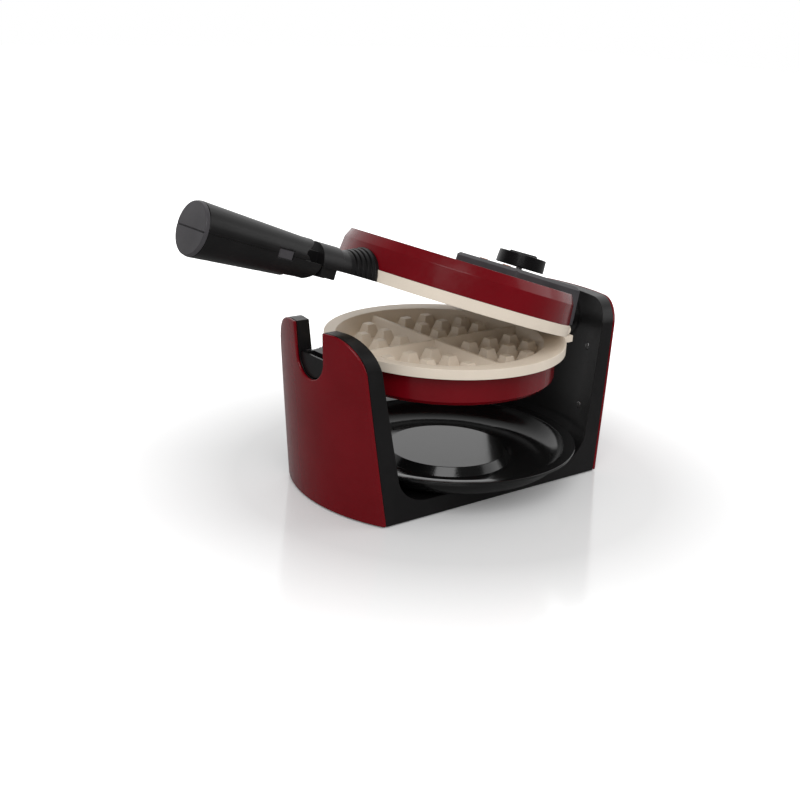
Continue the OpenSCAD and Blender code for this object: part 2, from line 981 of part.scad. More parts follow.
module lid_housing() {
  color(red)
    lid_pose()
      difference() {
        union() {
          lid_form(0);
          disc_cut(rim_r - 2.8, rim_r - 2.8, lid_z + 6, lid_base_z + 0.1, lid_flat_x - 2.6);
        }
        difference() {
          union() {
            disc_cut(rim_r - 5.2, rim_r - 5.2, lid_z, lid_base_z + 0.2, lid_flat_x - 5);
            disc_cut(lid_r - 3, ridge_r - 2.6, lid_base_z + 0.1, ridge_z, lid_flat_x - 2.5);
            disc_cut(ridge_r - 2.6, top_r - 2, ridge_z - 0.01, top_z - 2.5, lid_flat_x - 2.5);
          }
          at_posts(2 * mirror_z - floor_under + 5)
            cylinder(h = 40, r = boss_r + 0.4);
        }
        at_posts(lid_z)
          cylinder(h = 60, r = through_r);
        at_posts(top_z - 5)
          cylinder(h = 10, r = seat_r);
        to_lid()
          plate_cone(fit_gap);
        translate([knob_x, 0, lid_z])
          cylinder(h = 60, r = shaft_r + 1);
        for (p = cover_posts)
          translate([p[0], p[1], lid_z + 20])
            cylinder(h = 60, r = through_r);
        for (s = [-1, 1])
          rod_x(iron_x - lid_r - 4, iron_x - lid_r + 6, neck_screw_z, through_r, s * neck_screw_y);
      }
}

module upper_plate() {
  color(cream)
    lid_pose()
      difference() {
        union() {
          to_lid()
            waffle_plate(lid_rim_h, lid_flat_x);
          for (s = [-1, 1])
            slab_y(s > 0 ? ear_in : -ear_out, s > 0 ? ear_out : -ear_in) {
              translate([lid_flat_x - 1, hinge_z - knuckle_r])
                square([hinge_x - lid_flat_x + 1, 2 * knuckle_r]);
              translate([hinge_x, hinge_z])
                circle(r = knuckle_r);
            }
        }
        for (s = [-1, 1])
          rod_y(s * ear_in - 5.6, s * ear_in + 5.6, hinge_x, hinge_z, pin_r + run_gap);
      }
}

module upper_element() {
  color(steel)
    lid_pose()
      to_lid()
        element(tube_z);
}

module upper_reflector() {
  color(bright)
    lid_pose()
      difference() {
        to_lid()
          reflector(reflector_z);
        block([knob_x - 15, -13, lid_z], [far, 13, top_z]);
      }
}

module upper_terminals() {
  color(cream)
    lid_pose()
      to_lid()
        terminals(tube_z);
}

module thermostat() {
  z0 = 2 * mirror_z - floor_under + fit_gap;
  color(bright)
    lid_pose()
      difference() {
        union() {
          block([knob_x - 11, -11, z0], [knob_x + 11, 11, top_z - 9.8]);
          translate([knob_x, 0, z0 + 2])
            cylinder(h = top_z - 3.3 - z0 - 2, r = 6);
        }
        translate([knob_x, 0, top_z - 7.8])
          cylinder(h = 20, r = shaft_r + run_gap);
      }
}

module lid_screws() {
  color(steel)
    lid_pose() {
      to_lid()
        plate_screws(2 * mirror_z - top_z + 5 - head_h - head_gap, floor_under - 1.4);
      for (p = cover_posts)
        translate([p[0], p[1], top_z - 2.5 - head_gap - head_h])
          screw(8);
      for (s = [-1, 1])
        screw_x(iron_x - lid_r + 4.4 + head_h, iron_front - 4, s * neck_screw_y, neck_screw_z);
    }
}

// plan of the control cover with rounded corners, drawn in by d
module cover_plan(d) {
  r = cover_corner - min(d, cover_corner - 0.5);
  difference() {
    translate([cover_x0 + d, -cover_half + d])
      square([cover_l - 2 * d, 2 * cover_half - 2 * d]);
    for (s = [-1, 1])
      difference() {
        translate([cover_x0 + d - 1, s > 0 ? cover_half - d - r : -cover_half + d - 1])
          square([r + 1, r + 1]);
        translate([cover_x0 + d + r, s * (cover_half - d - r)])
          circle(r = r);
      }
  }
}

// side view of the control cover: bevelled front edge, rear wall that leans out downward
module cover_side(d) {
  polygon([[cover_x0 + d, top_z - 20], [cover_x1 + 4 - d, skirt_z - 20], [cover_x1 + 4 - d, skirt_z],
           [cover_x1 - d, cover_top - cover_edge], [cover_x1 - cover_edge - d, cover_top - d],
           [cover_x0 + cover_edge + d, cover_top - d], [cover_x0 + d, cover_top - cover_edge - d]]);
}

module control_cover() {
  notch_half = axle_r + 2.7;
  color(grey)
    lid_pose()
      difference() {
        intersection() {
          slab_y(-cover_half, cover_half)
            cover_side(0);
          // bevel along the two long edges
          rotate([90, 0, 90])
            linear_extrude(far)
              polygon([[-cover_half, 0], [cover_half, 0], [cover_half, cover_top - cover_edge],
                       [cover_half - cover_edge, cover_top], [-cover_half + cover_edge, cover_top],
                       [-cover_half, cover_top - cover_edge]]);
          linear_extrude(far)
            union() {
              cover_plan(0);
              translate([cover_x1 - 10, -cover_half])
                square([20, 2 * cover_half]);
            }
          union() {
            block([0, -far, top_z - 20], [lid_flat_x + 1, far, far]);
            block([lid_flat_x + fit_gap, -far, skirt_z], [far, far, far]);
          }
        }
        lid_form(fit_gap);
        // hollow over the lid and behind it
        difference() {
          intersection() {
            slab_y(-cover_half + cover_t, cover_half - cover_t)
              cover_side(cover_t);
            linear_extrude(far)
              union() {
                cover_plan(cover_t);
                translate([lid_flat_x, -far])
                  square([far, 2 * far]);
              }
          }
          for (p = cover_posts)
            translate([p[0], p[1], 0])
              cylinder(h = far, r = boss_r - 0.6);
        }
        // the axle passes here when the lid is fully open
        block([lid_flat_x, -notch_half, 0], [far, notch_half, cover_top - 3.5]);
        translate([knob_x, 0, lid_z])
          cylinder(h = 60, r = shaft_r + 1);
        for (p = cover_posts)
          translate([p[0], p[1], 0])
            cylinder(h = top_z + 5.6, r = pilot_r);
        for (s = [-1, 1])
          translate([lens_x, s * lens_y, lid_z])
            cylinder(h = 60, r = lens_r + fit_gap);
      }
}

module indicator_lenses() {
  z0 = cover_top - cover_t - 3;
  color([0.85, 0.3, 0.1])
    lid_pose()
      for (s = [-1, 1])
        translate([lens_x, s * lens_y, z0]) {
          cylinder(h = cover_t + 3.6, r = lens_r);
          cylinder(h = 2.9, r = lens_r + 1.2);
        }
}

module temperature_knob() {
  color(black)
    lid_pose()
      translate([knob_x, 0, cover_top + knob_gap])
        difference() {
          union() {
            cylinder(h = knob_h, r1 = knob_d / 2, r2 = knob_d / 2 - 0.7);
            translate([-1.6, -knob_d / 2 + 6, knob_h - 0.5])
              cube([3.2, knob_d - 12, 2.3]);
          }
          translate([0, 0, -1])
            cylinder(h = knob_h - 1, r = shaft_r + run_gap);
        }
}

module knob_shaft() {
  z0 = top_z - 7.7;
  color(steel)
    lid_pose()
      translate([knob_x, 0, z0])
        cylinder(h = cover_top + knob_gap + knob_h - 2.2 - z0, r = shaft_r);
}

// Folding handle

module handle_neck() {
  color(dark)
    lid_pose()
      difference() {
        union() {
          intersection() {
            journal(neck_end_x - 16.5);
            block([-far, -far, lid_z], [0, far, far]);
          }
          block([fold_x + joint_r + 1, -neck_r + 0.3, pivot_z - 9],
                [neck_end_x - 0.7, neck_r - 0.3, lid_z + 2]);
          slab_y(-joint_half, joint_half) {
            translate([fold_x, pivot_z - 10])
              square([30, 20]);
            translate([fold_x, pivot_z])
              circle(r = 10);
          }
        }
        lid_form(fit_gap);
        translate([iron_x, 0, lid_z - 1])
          cylinder(h = lid_rim_h + 1.2, r = rim_r + fit_gap);
        rod_y(-20, 20, fold_x, pivot_z, fold_pin_r + run_gap);
        for (s = [-1, 1])
          rod_x(iron_front - 6, iron_front + 22, neck_screw_z, pilot_r, s * neck_screw_y);
      }
}

module fold_pin() {
  color(steel)
    lid_pose()
      rod_y(-13.5, 13.5, fold_x, pivot_z, fold_pin_r);
}

// outer form of the grip, drawn in by d
module grip_form(d) {
  cone_x(grip_end_x, fold_x, grip_z, grip_end_r - d, grip_r - d);
  rod_x(fold_x - 0.01, fold_x + 20, grip_z, grip_r - d);
}

module at_grip_screws(z) {
  for (x = grip_screws_x)
    translate([x, 0, z])
      children();
}

module button_slot(d) {
  block([button_x - button_l / 2 - d, -30, button_z - button_h / 2 - d],
        [button_x + button_l / 2 + d, 0, button_z + button_h / 2 + d]);
}

module grip_upper() {
  nose_x = fold_x + 11.6;
  color(black)
    lid_pose()
      difference() {
        intersection() {
          grip_form(0);
          // slanted front edge over the joint
          slab_y(-30, 30)
            polygon([[grip_end_x, grip_z + fit_gap], [fold_x, grip_z + fit_gap], [fold_x, pivot_z + 7.7],
                     [nose_x, grip_z + grip_r], [nose_x, far], [grip_end_x, far]]);
        }
        difference() {
          grip_form(grip_t);
          at_grip_screws(0)
            cylinder(h = far, r = boss_r - 0.6);
        }
        at_grip_screws(0)
          cylinder(h = grip_z + 10, r = pilot_r);
        button_slot(fit_gap);
      }
}

module grip_lower() {
  cheek = joint_half + 0.4;
  color(black)
    lid_pose()
      difference() {
        union() {
          intersection() {
            difference() {
              grip_form(0);
              difference() {
                grip_form(grip_t);
                // cheeks that carry the pin
                for (s = [-1, 1])
                  rod_y(s * 12.6 - 12.6 + cheek, s * 12.6 + 12.6 - cheek, fold_x, pivot_z, 7);
                at_grip_screws(0)
                  cylinder(h = grip_z, r = boss_r - 0.6);
                // rounded end wall around the joint
                slab_y(-30, 30)
                  difference() {
                    translate([fold_x, pivot_z - 30])
                      square([30, 60]);
                    translate([fold_x, pivot_z])
                      circle(r = joint_r - grip_t);
                  }
              }
            }
            slab_y(-30, 30) {
              translate([grip_end_x, 0])
                square([grip_len, grip_z]);
              intersection() {
                translate([fold_x, pivot_z])
                  circle(r = joint_r);
                translate([fold_x - 1, 0])
                  square([40, grip_z]);
              }
            }
          }
          intersection() {
            grip_form(grip_t + 0.1);
            for (s = [-1, 1])
              rod_y(s * 12.6 - 12.6 + cheek, s * 12.6 + 12.6 - cheek, fold_x, pivot_z, 6);
          }
        }
        // room for the tongue of the neck
        slab_y(-joint_half - 0.3, joint_half + 0.3)
          translate([fold_x - 11, 0])
            square([60, far]);
        rod_y(-13.6, 13.6, fold_x, pivot_z, fold_pin_r + run_gap);
        at_grip_screws(0) {
          cylinder(h = far, r = through_r);
          cylinder(h = grip_z - 16.2, r = seat_r);
        }
        button_slot(fit_gap);
      }
}

module grip_cap() {
  color(grey)
    lid_pose()
      difference() {
        union() {
          cone_x(grip_end_x - 3.5, grip_end_x - fit_gap, grip_z, grip_end_r - 1, grip_end_r);
          rod_x(grip_end_x - 0.2, grip_end_x + 6, grip_z, grip_end_r - 3);
        }
        rod_x(grip_end_x, grip_end_x + 8, grip_z, grip_end_r - 5);
        block([grip_end_x - 4, -30, grip_z - 0.3], [grip_end_x - 3, 30, grip_z + 0.3]);
      }
}

module grip_screws() {
  color(steel)
    lid_pose()
      at_grip_screws(grip_z - 16.2 - head_h - head_gap)
        screw(25);
}

module release_button() {
  color(dark)
    lid_pose() {
      block([button_x - button_l / 2, -17, button_z - button_h / 2],
            [button_x + button_l / 2, -11, button_z + button_h / 2]);
      // flange that keeps it in the grip
      block([button_x - button_l / 2 - 1.5, -13, button_z - button_h / 2 - 1.7],
            [button_x + button_l / 2 + 1.5, -10.5, button_z + button_h / 2 + 1.7]);
      rod_y(-11, -6, button_x, button_z, 1.8);
    }
}

// return spring between the button and the far wall of the grip
module button_spring() {
  spring_r = 3.4;
  color(steel)
    lid_pose()
      difference() {
        rod_y(-10.4, 14, button_x, button_z, spring_r);
        rod_y(-20, 20, button_x, button_z, spring_r - 0.9);
        for (i = [0 : 7])
          difference() {
            rod_y(-9 + 3 * i, -7.6 + 3 * i, button_x, button_z, spring_r + 2);
            block([button_x - 1.2, -20, button_z], [button_x + 1.2, 20, button_z + 9]);
          }
      }
}

base_frame();
front_panel();
rear_panel();
panel_screws();
bottom_cover();
cover_screws();
rubber_feet();
front_bearing();
rear_bearing();
cord_gland();
terminal_block();
drip_tray();
lower_housing();
lower_plate();
lower_screws();
lower_element();
lower_reflector();
lower_terminals();
front_journal();
rear_axle();
axle_clip();
hinge_pins();
lid_housing();
upper_plate();
lid_screws();
upper_element();
upper_reflector();
upper_terminals();
thermostat();
control_cover();
indicator_lenses();
temperature_knob();
knob_shaft();
handle_neck();
fold_pin();
grip_upper();
grip_lower();
grip_cap();
grip_screws();
release_button();
button_spring();
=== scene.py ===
# %% [markdown]
# A rotary waffle maker, seen as in the photograph: a round iron with its lid
# lifted, held between two towers. The construction was modelled first and is
# loaded here as a fixed frame. This script gives every piece its finish, its
# soft edges and the studio round it. Nothing is moved or resized.

# %% Load the frame
import json
import math
import bmesh
import bpy
import numpy
from mathutils import Matrix, Vector


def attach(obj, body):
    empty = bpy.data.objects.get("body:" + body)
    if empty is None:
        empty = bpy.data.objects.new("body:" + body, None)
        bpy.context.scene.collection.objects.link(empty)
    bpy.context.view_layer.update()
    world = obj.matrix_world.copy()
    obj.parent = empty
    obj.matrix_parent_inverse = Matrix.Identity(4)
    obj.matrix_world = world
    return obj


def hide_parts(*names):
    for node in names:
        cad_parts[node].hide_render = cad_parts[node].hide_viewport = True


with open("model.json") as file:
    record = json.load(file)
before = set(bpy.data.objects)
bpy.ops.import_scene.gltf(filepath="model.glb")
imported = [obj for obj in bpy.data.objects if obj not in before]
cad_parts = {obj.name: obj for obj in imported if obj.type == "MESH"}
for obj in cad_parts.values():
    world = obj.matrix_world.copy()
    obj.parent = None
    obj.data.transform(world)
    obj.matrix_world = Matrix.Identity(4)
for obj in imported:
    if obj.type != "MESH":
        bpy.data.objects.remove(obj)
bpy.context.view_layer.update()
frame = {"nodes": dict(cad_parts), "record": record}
MM = 0.001
BODY_OF = {node: body for body, nodes in frame["record"]["behaviour"]["bodies"].items()
           for node in nodes}
SLOT_OF = {part["node"]: part["material_slot"] for part in frame["record"]["subparts"]}
print("nodes loaded:", len(frame["nodes"]))

# %% [markdown]
# The camera comes first, because every later choice is judged through it. Its
# place and turn were measured from the photograph: it looks along the left
# side of the maker, a little from above, and leans by under three degrees. A
# lens of 56 mm gives the same perspective.

# %% Camera
CAMERA_PLACE = Vector((-0.73837, -0.85051, 0.45011))
CAMERA_AZIMUTH = math.radians(-38.6065)
CAMERA_HEIGHT = math.radians(18.6215)
CAMERA_ROLL = math.radians(2.7342)
CAMERA_LENS = 56.4555
SENSOR_WIDTH = 36


def make_camera():
    forward = Vector((-math.sin(CAMERA_AZIMUTH) * math.cos(CAMERA_HEIGHT),
                      math.cos(CAMERA_AZIMUTH) * math.cos(CAMERA_HEIGHT),
                      -math.sin(CAMERA_HEIGHT)))
    right = forward.cross(Vector((0, 0, 1))).normalized()
    up = right.cross(forward)
    turned_right = math.cos(CAMERA_ROLL) * right + math.sin(CAMERA_ROLL) * up
    turned_up = turned_right.cross(forward)
    axes = Matrix((turned_right, turned_up, -forward)).transposed()
    data = bpy.data.cameras.new("camera")
    data.lens = CAMERA_LENS
    data.sensor_width = SENSOR_WIDTH
    data.sensor_fit = "HORIZONTAL"
    camera = bpy.data.objects.new("camera", data)
    camera.matrix_world = Matrix.Translation(CAMERA_PLACE) @ axes.to_4x4()
    bpy.context.scene.collection.objects.link(camera)
    bpy.context.scene.camera = camera
    return camera


camera = make_camera()
print("camera at", [round(value, 3) for value in camera.matrix_world.translation])

# %% [markdown]
# Node trees are easier to read as plain maths. A Wire is the output of a node,
# and adding or multiplying wires adds the Math nodes. A Tree makes any other
# node through one method. Linking every node by hand would do the same in
# many more lines.

# %% Node maths


class Wire:
    """The output socket of a node, with the maths operators."""

    def __init__(self, owner, socket):
        self.owner = owner
        self.socket = socket

    def maths(self, operation, left, right):
        return self.owner.add("ShaderNodeMath", {"operation": operation}, {0: left, 1: right})

    def __add__(self, other):
        return self.maths("ADD", self, other)

    def __radd__(self, other):
        return self.maths("ADD", other, self)

    def __sub__(self, other):
        return self.maths("SUBTRACT", self, other)

    def __rsub__(self, other):
        return self.maths("SUBTRACT", other, self)

    def __mul__(self, other):
        return self.maths("MULTIPLY", self, other)

    def __rmul__(self, other):
        return self.maths("MULTIPLY", other, self)


class Tree:
    """A node tree that makes and links any node through add."""

    def __init__(self, tree):
        self.tree = tree

    def plug(self, socket, value):
        if isinstance(value, Wire):
            self.tree.links.new(value.socket, socket)
        elif socket.type == "RGBA" and len(value) == 3:
            socket.default_value = (*value, 1)
        else:
            socket.default_value = value

    def add(self, kind, settings=None, inputs=None, output=0):
        node = self.tree.nodes.new(kind)
        for name, value in (settings or {}).items():
            setattr(node, name, value)
        for name, value in (inputs or {}).items():
            for single in value if isinstance(value, list) else [value]:
                self.plug(node.inputs[name], single)
        return Wire(self, node.outputs[output])


print("helpers:", Wire.__name__, Tree.__name__)

# %% [markdown]
# Every finish on the maker starts from the same few steps: noise at a real
# size, stretched to a range of values, then sent to a colour, to the roughness
# or to a bump. A Finish is one material with those steps as methods. The noise
# reads the object's own coordinates, so a finish moves with its piece.

# %% One material
NOISE_LOW, NOISE_HIGH = 0.3, 0.7  # plain noise mostly stays between these two


class Finish(Tree):
    """One material, built round a Principled shader."""

    def __init__(self, name, **sockets):
        self.material = bpy.data.materials.new(name)
        self.material.use_nodes = True
        super().__init__(self.material.node_tree)
        self.shader = self.tree.nodes["Principled BSDF"]
        self.set(**sockets)

    def set(self, **sockets):
        for name, value in sockets.items():
            self.plug(self.shader.inputs[name.replace("_", " ")], value)

    def place(self):
        return self.add("ShaderNodeTexCoord", output="Object")

    def noise(self, size, detail=3.0, place=None):
        """Even noise with patches of about that size in metres."""
        return self.add("ShaderNodeTexNoise", {"noise_dimensions": "3D"},
                        {"Vector": place or self.place(), "Scale": 1 / size, "Detail": detail,
                         "Roughness": 0.5})

    def spread(self, value, low=0.0, high=1.0, from_low=NOISE_LOW, from_high=NOISE_HIGH):
        """The value brought from one range to another; noise needs no second range."""
        return self.add("ShaderNodeMapRange", {},
                        {"Value": value, "From Min": from_low, "From Max": from_high,
                         "To Min": low, "To Max": high})

    def blend(self, factor, first, second):
        return self.add("ShaderNodeMix", {"data_type": "RGBA"},
                        {"Factor": factor, "A": first, "B": second}, output=2)

    def bump(self, height, strength, distance):
        self.set(Normal=self.add("ShaderNodeBump", {},
                                 {"Height": height, "Strength": strength,
                                  "Distance": distance}))


def linear(red, green, blue):
    """A colour picked from the photograph, 0 to 255, as Blender wants it."""
    return tuple(((value / 255 + 0.055) / 1.055) ** 2.4 if value > 10 else value / 255 / 12.92
                 for value in (red, green, blue))


def scaled(colour, factor):
    return tuple(value * factor for value in colour)


print("mid grey as Blender wants it:", round(linear(128, 128, 128)[0], 3))

# %% [markdown]
# The towers and the iron are a deep glossy red. Real gloss is never quite even:
# the colour drifts a little over a hand's width, and the surface has a faint
# orange peel that softens its reflections. Both are plain noise, one coarse
# and one fine. The reflections are kept weak, since a strong one would turn
# the red pink.

# %% Gloss red
RED_DEEP = linear(106, 5, 15)
RED_FRESH = linear(117, 8, 20)
RED_DRIFT = 0.05
PEEL = 0.0022


def red_gloss(name, gloss=0.22):
    finish = Finish(name, Specular_IOR_Level=0.24, Coat_Roughness=0.08)
    drift = finish.spread(finish.noise(RED_DRIFT))
    finish.set(Base_Color=finish.blend(drift, RED_DEEP, RED_FRESH))
    finish.set(Roughness=finish.spread(finish.noise(0.004, 2), gloss - 0.03, gloss + 0.05))
    finish.set(Coat_Weight=finish.spread(drift, 0.1, 0.16, 0.0, 1.0))
    finish.bump(finish.noise(PEEL, 2), 0.05, 0.4 * MM)
    return finish.material


print("red:", [round(value, 3) for value in RED_DEEP])

# %% [markdown]
# The frame, the grip and the control cover are injection mouldings. Their
# moulds are spark eroded, which leaves a fine even grain, and the plastic is
# slightly cloudy. Fine noise drives both the grain and the roughness, so the
# light breaks up where the surface does.

# %% Mouldings
CLOUD = 0.03
SPARK_GRAIN = 0.0009


def moulded_plastic(name, colour, gloss=0.35, grain=0.12, lift=1.5, shine=0.3):
    finish = Finish(name, Specular_IOR_Level=shine)
    cloud = finish.spread(finish.noise(CLOUD))
    finish.set(Base_Color=finish.blend(cloud, colour, scaled(colour, lift)))
    fine = finish.noise(SPARK_GRAIN, 2)
    finish.set(Roughness=finish.spread(fine, gloss - 0.05, gloss + 0.07))
    finish.bump(fine, grain, 0.2 * MM)
    return finish.material


print("grain of", SPARK_GRAIN / MM, "mm")

# %% [markdown]
# The plates wear a cream non-stick coating that is sprayed on and baked. It is
# satin rather than glossy, with tiny flecks and a tone that shifts by a few
# percent. Two sizes of noise give both. The bare metal pieces are steel with
# faint drawing lines, which is noise stretched along the object.

# %% Coating, steel and lens
COATING_TONE = 0.035
FLECK = 0.0012
FLECK_LOW, FLECK_HIGH = 0.35, 0.65
DRAWN_LINE = 0.0006
DRAWN_STRETCH = 0.08


def baked_coating(name, colour):
    finish = Finish(name, Specular_IOR_Level=0.4)
    tone = finish.spread(finish.noise(COATING_TONE))
    fleck = finish.spread(finish.noise(FLECK, 2), 0.0, 1.0, FLECK_LOW, FLECK_HIGH)
    warm = finish.blend(tone, colour, scaled(colour, 0.93))
    finish.set(Base_Color=finish.blend(fleck * 0.12, warm, scaled(colour, 1.12)))
    finish.set(Roughness=finish.spread(fleck, 0.34, 0.46, 0.0, 1.0))
    finish.bump(fleck, 0.1, 0.2 * MM)
    return finish.material


def drawn_steel(name, colour=(0.5, 0.5, 0.5), rough=0.3):
    finish = Finish(name, Metallic=1.0)
    stretched = finish.add("ShaderNodeMapping", {},
                           {"Vector": finish.place(), "Scale": (DRAWN_STRETCH, 1, 1)})
    lines = finish.noise(DRAWN_LINE, 2, place=stretched)
    finish.set(Base_Color=finish.blend(lines, scaled(colour, 0.85), colour))
    finish.set(Roughness=finish.spread(lines, rough - 0.08, rough + 0.1))
    return finish.material


def tinted_lens(name):
    finish = Finish(name, Specular_IOR_Level=0.6, Roughness=0.12)
    depth = finish.spread(finish.noise(0.003, 1))
    finish.set(Base_Color=finish.blend(depth, (0.5, 0.12, 0.03), (0.62, 0.2, 0.05)))
    return finish.material


FINISHES = {
    "red_shell": red_gloss("red gloss"),
    "black_plastic": moulded_plastic("black moulding", (0.006, 0.0056, 0.0058), 0.34),
    "grey_plastic": moulded_plastic("grey moulding", (0.05, 0.047, 0.051), 0.34),
    "knob_plastic": moulded_plastic("knob moulding", (0.004, 0.0035, 0.004), 0.28),
    "tray_gloss": moulded_plastic("tray moulding", (0.006, 0.006, 0.006), 0.14, 0.04, 1.3, 0.5),
    "cream_coating": baked_coating("cream coating", (0.83, 0.73, 0.61)),
    "steel": drawn_steel("steel"),
    "reflector_metal": drawn_steel("bright sheet", (0.75, 0.75, 0.75), 0.25),
    "ceramic": moulded_plastic("ceramic", (0.6, 0.57, 0.5), 0.55, 0.2, 1.1),
    "rubber": moulded_plastic("rubber", (0.02, 0.02, 0.02), 0.6, 0.3),
    "lens": tinted_lens("amber lens"),
}
print("finishes:", ", ".join(FINISHES))

# %% [markdown]
# Every node of the frame gets its finish, whether it stays on show or not. The
# record names a slot for each one, so a loop is enough, and a piece inside the
# maker is as well finished as one outside.

# %% Finish the CAD nodes


def wear(thing, finish):
    thing.data.materials.clear()
    thing.data.materials.append(finish)


for name, node in frame["nodes"].items():
    wear(node, FINISHES[SLOT_OF[name]])
print("finished:", len(frame["nodes"]), "nodes")

# %% [markdown]
# The exact solids have knife-sharp edges, and no moulding or pressing has
# those. A copy of the solid's mesh is merged, its flat faces are joined, and a
# Bevel modifier rounds the edges. A Weighted Normal modifier keeps the large
# faces flat, so that a ridge reads as a ridge. The copy stands for the node.

# %% Soft edges
MERGE_WITHIN = 0.01 * MM
FLAT_WITHIN = math.radians(0.5)
EDGE_SEGMENTS = 2


def soften(node, width, angle):
    """A copy of a CAD node with rounded edges, width in millimetres."""
    data = frame["nodes"][node].data.copy()
    shape = bmesh.new()
    shape.from_mesh(data)
    bmesh.ops.remove_doubles(shape, verts=shape.verts, dist=MERGE_WITHIN)
    bmesh.ops.dissolve_limit(shape, angle_limit=FLAT_WITHIN, verts=shape.verts,
                             edges=shape.edges)
    shape.to_mesh(data)
    shape.free()
    piece = bpy.data.objects.new(node + "_soft", data)
    bpy.context.scene.collection.objects.link(piece)
    wear(piece, FINISHES[SLOT_OF[node]])
    for face in data.polygons:
        face.use_smooth = True
    bevel = piece.modifiers.new("edges", "BEVEL")
    bevel.width = width * MM
    bevel.segments = EDGE_SEGMENTS
    bevel.limit_method = "ANGLE"
    bevel.angle_limit = math.radians(angle)
    bevel.use_clamp_overlap = False
    piece.modifiers.new("shading", "WEIGHTED_NORMAL").keep_sharp = True
    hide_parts(node)
    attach(piece, BODY_OF[node])
    return piece


print("edges rounded in", EDGE_SEGMENTS, "steps")

# %% [markdown]
# How round an edge is depends on how the piece is made. The tower panels have
# the softest edges, thin ribs and sheet the tightest. A drum or dish is a ring
# of small flat faces, so its angle is set low enough to catch its rim but
# above the turn from one face to the next.

# %% Width and angle of each piece
# width of the rounding in millimetres, and the angle in degrees above which an edge is rounded
EDGES = {
    "front_panel": (1.1, 35), "rear_panel": (1.1, 35), "base_frame": (0.5, 35),
    "lid_housing": (0.35, 14), "lower_housing": (0.5, 14), "control_cover": (0.2, 20),
    "temperature_knob": (0.8, 35), "handle_neck": (0.25, 35), "front_journal": (0.25, 35),
    "grip_upper": (0.7, 35), "grip_lower": (0.7, 35), "grip_cap": (0.6, 35),
    "drip_tray": (0.4, 20), "lower_plate": (0.5, 30), "upper_plate": (0.5, 30),
    "release_button": (0.4, 35), "bottom_cover": (0.4, 35), "front_bearing": (0.3, 35),
}
for node, (width, angle) in EDGES.items():
    piece = soften(node, width, angle)
    print(piece.name, len(piece.data.polygons), "faces")

# %% [markdown]
# Screws repeat all over the maker, so one Geometry Nodes tree makes them all
# from points. A Growth is such a tree: it has named inputs, the methods that
# the screw needs, and it ends in one plain mesh.

# %% Tree that grows


class Growth(Tree):
    """A Geometry Nodes tree with named inputs that ends in one plain mesh."""

    def __init__(self, name, **inputs):
        super().__init__(bpy.data.node_groups.new(name, "GeometryNodeTree"))
        sockets = self.tree.interface
        for side in ("INPUT", "OUTPUT"):
            sockets.new_socket("Geometry", in_out=side, socket_type="NodeSocketGeometry")
        for label, value in inputs.items():
            kind = "NodeSocketInt" if isinstance(value, int) else "NodeSocketFloat"
            sockets.new_socket(label, in_out="INPUT", socket_type=kind).default_value = value
        self.entry = self.tree.nodes.new("NodeGroupInput")

    def value(self, label):
        return Wire(self, self.entry.outputs[label])

    def vector(self, x=0.0, y=0.0, z=0.0):
        return self.add("ShaderNodeCombineXYZ", {}, {"X": x, "Y": y, "Z": z})

    def cylinder(self, sides, radius, depth):
        return self.add("GeometryNodeMeshCylinder", {},
                        {"Vertices": sides, "Radius": radius, "Depth": depth})

    def shift(self, geometry, z):
        return self.add("GeometryNodeTransform", {},
                        {"Geometry": geometry, "Translation": self.vector(z=z)})

    def join(self, *parts):
        return self.add("GeometryNodeJoinGeometry", {}, {"Geometry": list(parts)})

    def named(self, label, kind):
        return self.add("GeometryNodeInputNamedAttribute", {"data_type": kind}, {"Name": label})

    def close(self, geometry, material):
        real = self.add("GeometryNodeRealizeInstances", {}, {"Geometry": geometry})
        worn = self.add("GeometryNodeSetMaterial", {}, {"Geometry": real, "Material": material})
        self.plug(self.tree.nodes.new("NodeGroupOutput").inputs["Geometry"], worn)


print("helper:", Growth.__name__)

# %% [markdown]
# A screw is a low head with a rounded crown, a cross recess for the driver and
# a shank. The head is set on every point as it is. The shank is one metre long
# in the tree and is scaled to the length that its point asks for.

# %% Tree of the screws
RECESS_LONG = 1.4   # length of the cross recess, in radii of the head
RECESS_WIDE = 0.27  # width of the cross recess, in radii of the head
MERGE_HEAD = 0.01 * MM


def screw_head(tree, sides):
    head_r, head_h, round_h = tree.value("head_r"), tree.value("head_h"), tree.value("round_h")
    rim = tree.cylinder(sides, head_r, head_h - round_h)
    crown = tree.add("GeometryNodeMeshCone", {},
                     {"Vertices": sides, "Radius Top": head_r, "Radius Bottom": head_r - round_h,
                      "Depth": round_h})
    solid = tree.join(tree.shift(rim, (head_h + round_h) * 0.5), crown)
    solid = tree.add("GeometryNodeMergeByDistance", {},
                     {"Geometry": solid, "Distance": MERGE_HEAD})
    bar = tree.add("GeometryNodeMeshCube", {},
                   {"Size": tree.vector(head_r * RECESS_LONG, head_r * RECESS_WIDE, head_h)})
    turned = tree.add("GeometryNodeTransform", {},
                      {"Geometry": bar, "Rotation": (0, 0, math.pi / 2)})
    return tree.add("GeometryNodeMeshBoolean", {"operation": "DIFFERENCE"},
                    {"Mesh 1": solid, "Mesh 2": [bar, turned]})


